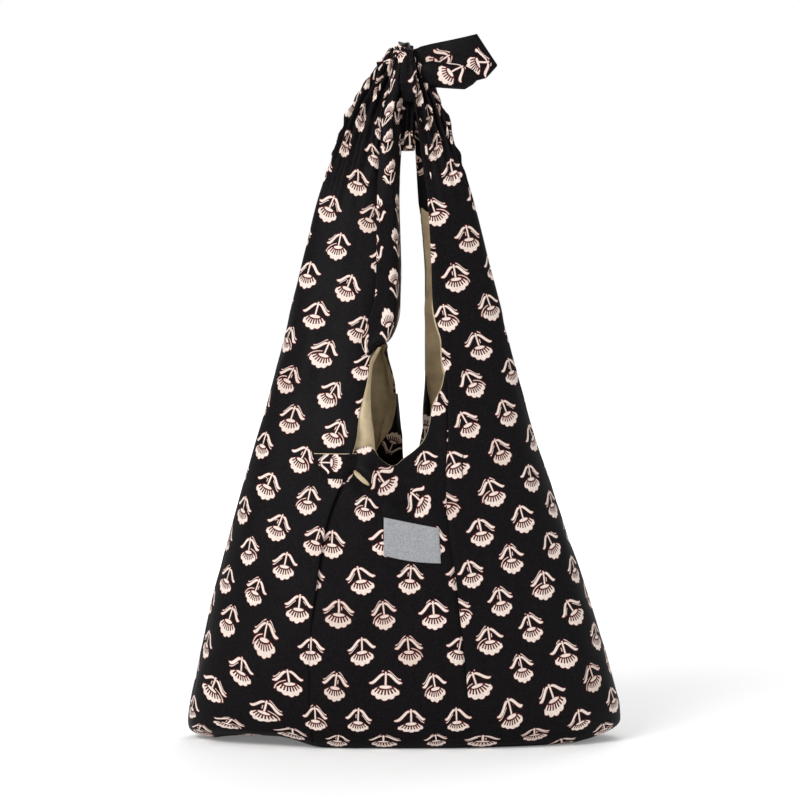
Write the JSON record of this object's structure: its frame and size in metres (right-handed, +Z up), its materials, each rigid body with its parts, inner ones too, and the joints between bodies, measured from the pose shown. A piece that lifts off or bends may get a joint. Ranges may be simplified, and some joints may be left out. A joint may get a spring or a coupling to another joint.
{
  "type": "shoulder tote bag with knotted straps",
  "caption": "Soft cotton shoulder tote in a flower-sprig print, lined, standing open at its mouth with its wide straps drawn together and knotted above it.",
  "frame": {"origin": "on the surface that the bag stands on, under the middle of the bag's box", "axes": "+Z up through the knot, -Y out of the bag's front, where the label is, +X to the front's right, the way the free end points"},
  "size_m": [0.399, 0.1558, 0.652],
  "materials": {
    "printed_cotton": "matt black plain-weave cotton with a cream and dark red flower-sprig print",
    "natural_cotton": "matt undyed plain-weave cotton",
    "woven_label": "silver-grey satin-woven tape"
  },
  "bodies": {
    "root": {"outer_cloth": "printed_cotton", "lining": "natural_cotton", "label": "woven_label", "strap_knot": "printed_cotton", "strap_free_end": "printed_cotton"}
  },
  "joints": []
}
